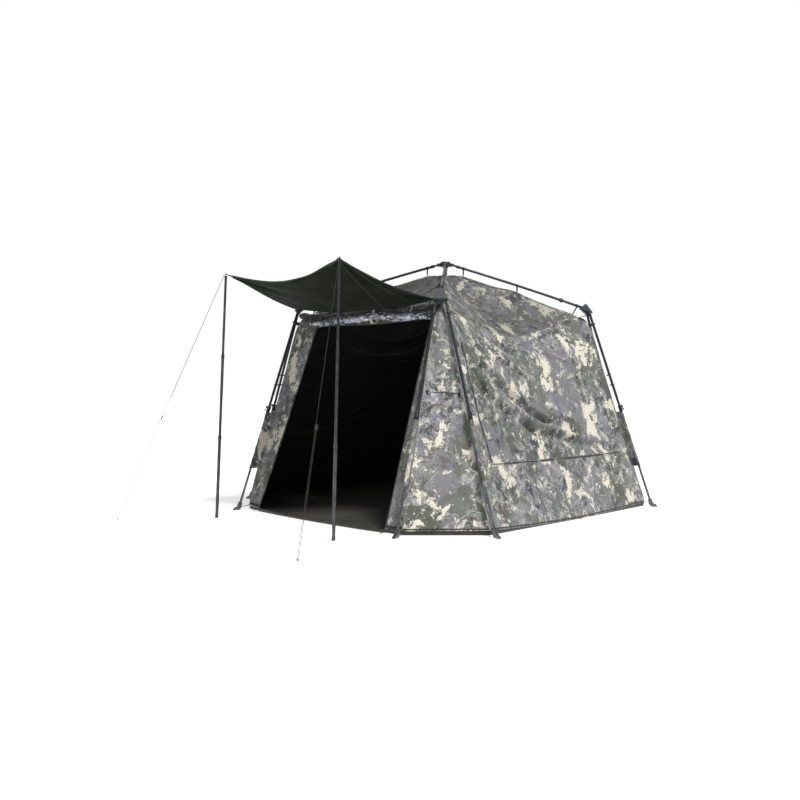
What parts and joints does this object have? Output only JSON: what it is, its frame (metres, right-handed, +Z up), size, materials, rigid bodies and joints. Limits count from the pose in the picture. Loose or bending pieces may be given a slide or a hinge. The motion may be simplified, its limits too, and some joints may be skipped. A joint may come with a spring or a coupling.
{
  "type": "pop up tent",
  "caption": "Quick-erect shelter: folding external hub frame with telescopic legs, hung cloth body, open door with rolled panels and an awning on two telescopic poles.",
  "frame": {"origin": "on the ground under the hub, at the underside of the groundsheet", "axes": "+Z up, the door and the awning face -Y, +X is on the right of someone who looks at the door from the front"},
  "size_m": [2.9444, 4.1677, 2.127],
  "materials": {
    "cloth_camo": "woven polyester, camouflage print",
    "cloth_olive": "woven polyester, dark olive",
    "cloth_silver": "coated fabric, silver grey",
    "cloth_ground": "coated groundsheet",
    "webbing": "black webbing",
    "cord": "braided guy line",
    "plastic_black": "moulded nylon, satin",
    "tube_grey": "anodised tube",
    "tube_dark": "dark powder coat",
    "steel": "zinc-plated steel"
  },
  "bodies": {
    "base": {"groundsheet": "cloth_ground", "guy_pegs": "steel", "roof_canopy": "cloth_camo", "wall_left": "cloth_camo", "wall_right": "cloth_camo", "wall_back": "cloth_camo", "wall_front": "cloth_camo", "corner_panels": "cloth_camo", "rolled_door": "cloth_camo", "rolled_mesh_door": "cloth_silver", "roll_ties": "webbing", "awning": "cloth_olive", "awning_pole_left_top": "tube_grey", "awning_pole_right_top": "tube_grey", "guy_line_left": "cord", "guy_line_right": "cord", "guy_tensioner_left": "plastic_black", "guy_tensioner_right": "plastic_black"},
    "hub": {"hub_body": "plastic_black", "hub_cap": "plastic_black", "hub_pins": "steel", "hub_ring": "steel"},
    "arm_front_left": {"roof_arm_front_left": "tube_dark", "knuckle_front_left": "plastic_black"},
    "upper_front_left_end": {"upper_leg_front_left_end": "tube_dark"},
    "lower_front_left_end": {"lower_leg_front_left_end": "tube_grey"},
    "lock_front_left_end": {"leg_lock_front_left_end": "plastic_black"},
    "upper_front_left_side": {"upper_leg_front_left_side": "tube_dark"},
    "lower_front_left_side": {"lower_leg_front_left_side": "tube_grey"},
    "lock_front_left_side": {"leg_lock_front_left_side": "plastic_black"},
    "arm_front_right": {"roof_arm_front_right": "tube_dark", "knuckle_front_right": "plastic_black"},
    "upper_front_right_end": {"upper_leg_front_right_end": "tube_dark"},
    "lower_front_right_end": {"lower_leg_front_right_end": "tube_grey"},
    "lock_front_right_end": {"leg_lock_front_right_end": "plastic_black"},
    "upper_front_right_side": {"upper_leg_front_right_side": "tube_dark"},
    "lower_front_right_side": {"lower_leg_front_right_side": "tube_grey"},
    "lock_front_right_side": {"leg_lock_front_right_side": "plastic_black"},
    "arm_back_left": {"roof_arm_back_left": "tube_dark", "knuckle_back_left": "plastic_black"},
    "upper_back_left_end": {"upper_leg_back_left_end": "tube_dark"},
    "lower_back_left_end": {"lower_leg_back_left_end": "tube_grey"},
    "lock_back_left_end": {"leg_lock_back_left_end": "plastic_black"},
    "upper_back_left_side": {"upper_leg_back_left_side": "tube_dark"},
    "lower_back_left_side": {"lower_leg_back_left_side": "tube_grey"},
    "lock_back_left_side": {"leg_lock_back_left_side": "plastic_black"},
    "arm_back_right": {"roof_arm_back_right": "tube_dark", "knuckle_back_right": "plastic_black"},
    "upper_back_right_end": {"upper_leg_back_right_end": "tube_dark"},
    "lower_back_right_end": {"lower_leg_back_right_end": "tube_grey"},
    "lock_back_right_end": {"leg_lock_back_right_end": "plastic_black"},
    "upper_back_right_side": {"upper_leg_back_right_side": "tube_dark"},
    "lower_back_right_side": {"lower_leg_back_right_side": "tube_grey"},
    "lock_back_right_side": {"leg_lock_back_right_side": "plastic_black"},
    "pole_left_middle": {"awning_pole_left_middle": "tube_grey"},
    "pole_left_lower": {"awning_pole_left_lower": "tube_grey"},
    "pole_right_middle": {"awning_pole_right_middle": "tube_grey"},
    "pole_right_lower": {"awning_pole_right_lower": "tube_grey"}
  },
  "joints": [
    {"name": "hub_drop", "type": "slide", "parent": "base", "child": "hub", "axis": [0, 0, -1], "range_m": [0, 1.6], "deforming": ["roof_canopy", "wall_left", "wall_right", "wall_back", "wall_front", "corner_panels", "rolled_door", "rolled_mesh_door", "roll_ties", "awning"]},
    {"name": "arm_fold_front_left", "type": "hinge", "parent": "hub", "child": "arm_front_left", "pos_m": [-0.0414, -0.0488, 2.1], "axis": [-0.7626, 0.6469, 0], "range_deg": [0, 106.95]},
    {"name": "leg_fold_front_left_end", "type": "hinge", "parent": "arm_front_left", "child": "upper_front_left_end", "pos_m": [-0.80824, -1.00993, 1.678], "axis": [0.7196, -0.6752, 0.162], "range_deg": [0, 123.01]},
    {"name": "leg_slide_front_left_end", "type": "slide", "parent": "upper_front_left_end", "child": "lower_front_left_end", "axis": [0.0729, 0.3055, 0.9494], "range_m": [0, 0.72]},
    {"name": "lock_lever_front_left_end", "type": "hinge", "parent": "upper_front_left_end", "child": "lock_front_left_end", "pos_m": [-0.8867, -1.28987, 0.85984], "axis": [-0.7196, 0.6752, -0.162], "range_deg": [0, 110]},
    {"name": "leg_fold_front_left_side", "type": "hinge", "parent": "arm_front_left", "child": "upper_front_left_side", "pos_m": [-0.86467, -0.96206, 1.678], "axis": [0.7855, -0.5759, -0.2263], "range_deg": [0, 121.17]},
    {"name": "leg_slide_front_left_side", "type": "slide", "parent": "upper_front_left_side", "child": "lower_front_left_side", "axis": [0.3179, 0.0618, 0.9461], "range_m": [0, 0.72]},
    {"name": "lock_lever_front_left_side", "type": "hinge", "parent": "upper_front_left_side", "child": "lock_front_left_side", "pos_m": [-1.15226, -1.03361, 0.86186], "axis": [-0.7855, 0.5759, 0.2263], "range_deg": [0, 110]},
    {"name": "arm_fold_front_right", "type": "hinge", "parent": "hub", "child": "arm_front_right", "pos_m": [0.0414, -0.0488, 2.1], "axis": [-0.7626, -0.6469, 0], "range_deg": [0, 106.95]},
    {"name": "leg_fold_front_right_end", "type": "hinge", "parent": "arm_front_right", "child": "upper_front_right_end", "pos_m": [0.80824, -1.00993, 1.678], "axis": [0.7196, 0.6752, -0.162], "range_deg": [0, 123.01]},
    {"name": "leg_slide_front_right_end", "type": "slide", "parent": "upper_front_right_end", "child": "lower_front_right_end", "axis": [-0.0729, 0.3055, 0.9494], "range_m": [0, 0.72]},
    {"name": "lock_lever_front_right_end", "type": "hinge", "parent": "upper_front_right_end", "child": "lock_front_right_end", "pos_m": [0.8867, -1.28987, 0.85984], "axis": [-0.7196, -0.6752, 0.162], "range_deg": [0, 110]},
    {"name": "leg_fold_front_right_side", "type": "hinge", "parent": "arm_front_right", "child": "upper_front_right_side", "pos_m": [0.86467, -0.96206, 1.678], "axis": [0.7855, 0.5759, 0.2263], "range_deg": [0, 121.17]},
    {"name": "leg_slide_front_right_side", "type": "slide", "parent": "upper_front_right_side", "child": "lower_front_right_side", "axis": [-0.3179, 0.0618, 0.9461], "range_m": [0, 0.72]},
    {"name": "lock_lever_front_right_side", "type": "hinge", "parent": "upper_front_right_side", "child": "lock_front_right_side", "pos_m": [1.15226, -1.03361, 0.86186], "axis": [-0.7855, -0.5759, -0.2263], "range_deg": [0, 110]},
    {"name": "arm_fold_back_left", "type": "hinge", "parent": "hub", "child": "arm_back_left", "pos_m": [-0.0414, 0.0488, 2.1], "axis": [0.7626, 0.6469, 0], "range_deg": [0, 106.95]},
    {"name": "leg_fold_back_left_end", "type": "hinge", "parent": "arm_back_left", "child": "upper_back_left_end", "pos_m": [-0.80824, 1.00993, 1.678], "axis": [-0.7196, -0.6752, -0.162], "range_deg": [0, 123.01]},
    {"name": "leg_slide_back_left_end", "type": "slide", "parent": "upper_back_left_end", "child": "lower_back_left_end", "axis": [0.0729, -0.3055, 0.9494], "range_m": [0, 0.72]},
    {"name": "lock_lever_back_left_end", "type": "hinge", "parent": "upper_back_left_end", "child": "lock_back_left_end", "pos_m": [-0.8867, 1.28987, 0.85984], "axis": [0.7196, 0.6752, 0.162], "range_deg": [0, 110]},
    {"name": "leg_fold_back_left_side", "type": "hinge", "parent": "arm_back_left", "child": "upper_back_left_side", "pos_m": [-0.86467, 0.96206, 1.678], "axis": [-0.7855, -0.5759, 0.2263], "range_deg": [0, 121.17]},
    {"name": "leg_slide_back_left_side", "type": "slide", "parent": "upper_back_left_side", "child": "lower_back_left_side", "axis": [0.3179, -0.0618, 0.9461], "range_m": [0, 0.72]},
    {"name": "lock_lever_back_left_side", "type": "hinge", "parent": "upper_back_left_side", "child": "lock_back_left_side", "pos_m": [-1.15226, 1.03361, 0.86186], "axis": [0.7855, 0.5759, -0.2263], "range_deg": [0, 110]},
    {"name": "arm_fold_back_right", "type": "hinge", "parent": "hub", "child": "arm_back_right", "pos_m": [0.0414, 0.0488, 2.1], "axis": [0.7626, -0.6469, 0], "range_deg": [0, 106.95]},
    {"name": "leg_fold_back_right_end", "type": "hinge", "parent": "arm_back_right", "child": "upper_back_right_end", "pos_m": [0.80824, 1.00993, 1.678], "axis": [-0.7196, 0.6752, 0.162], "range_deg": [0, 123.01]},
    {"name": "leg_slide_back_right_end", "type": "slide", "parent": "upper_back_right_end", "child": "lower_back_right_end", "axis": [-0.0729, -0.3055, 0.9494], "range_m": [0, 0.72]},
    {"name": "lock_lever_back_right_end", "type": "hinge", "parent": "upper_back_right_end", "child": "lock_back_right_end", "pos_m": [0.8867, 1.28987, 0.85984], "axis": [0.7196, -0.6752, -0.162], "range_deg": [0, 110]},
    {"name": "leg_fold_back_right_side", "type": "hinge", "parent": "arm_back_right", "child": "upper_back_right_side", "pos_m": [0.86467, 0.96206, 1.678], "axis": [-0.7855, 0.5759, -0.2263], "range_deg": [0, 121.17]},
    {"name": "leg_slide_back_right_side", "type": "slide", "parent": "upper_back_right_side", "child": "lower_back_right_side", "axis": [-0.3179, -0.0618, 0.9461], "range_m": [0, 0.72]},
    {"name": "lock_lever_back_right_side", "type": "hinge", "parent": "upper_back_right_side", "child": "lock_back_right_side", "pos_m": [1.15226, 1.03361, 0.86186], "axis": [0.7855, -0.5759, 0.2263], "range_deg": [0, 110]},
    {"name": "pole_slide_left_middle", "type": "slide", "parent": "base", "child": "pole_left_middle", "axis": [0.0125, 0.0422, 0.999], "range_m": [0, 0.54]},
    {"name": "pole_slide_left_lower", "type": "slide", "parent": "pole_left_middle", "child": "pole_left_lower", "axis": [0.0125, 0.0422, 0.999], "range_m": [0, 0.54]},
    {"name": "pole_slide_right_middle", "type": "slide", "parent": "base", "child": "pole_right_middle", "axis": [-0.0125, 0.0422, 0.999], "range_m": [0, 0.54]},
    {"name": "pole_slide_right_lower", "type": "slide", "parent": "pole_right_middle", "child": "pole_right_lower", "axis": [-0.0125, 0.0422, 0.999], "range_m": [0, 0.54]}
  ],
  "couplings": [
    {"joint": "arm_fold_front_left", "follows": "hub_drop", "rad_per_m": 1.1667},
    {"joint": "leg_fold_front_left_end", "follows": "hub_drop", "rad_per_m": 1.3418},
    {"joint": "leg_fold_front_left_side", "follows": "hub_drop", "rad_per_m": 1.3218},
    {"joint": "arm_fold_front_right", "follows": "hub_drop", "rad_per_m": 1.1667},
    {"joint": "leg_fold_front_right_end", "follows": "hub_drop", "rad_per_m": 1.3418},
    {"joint": "leg_fold_front_right_side", "follows": "hub_drop", "rad_per_m": 1.3218},
    {"joint": "arm_fold_back_left", "follows": "hub_drop", "rad_per_m": 1.1667},
    {"joint": "leg_fold_back_left_end", "follows": "hub_drop", "rad_per_m": 1.3418},
    {"joint": "leg_fold_back_left_side", "follows": "hub_drop", "rad_per_m": 1.3218},
    {"joint": "arm_fold_back_right", "follows": "hub_drop", "rad_per_m": 1.1667},
    {"joint": "leg_fold_back_right_end", "follows": "hub_drop", "rad_per_m": 1.3418},
    {"joint": "leg_fold_back_right_side", "follows": "hub_drop", "rad_per_m": 1.3218}
  ]
}
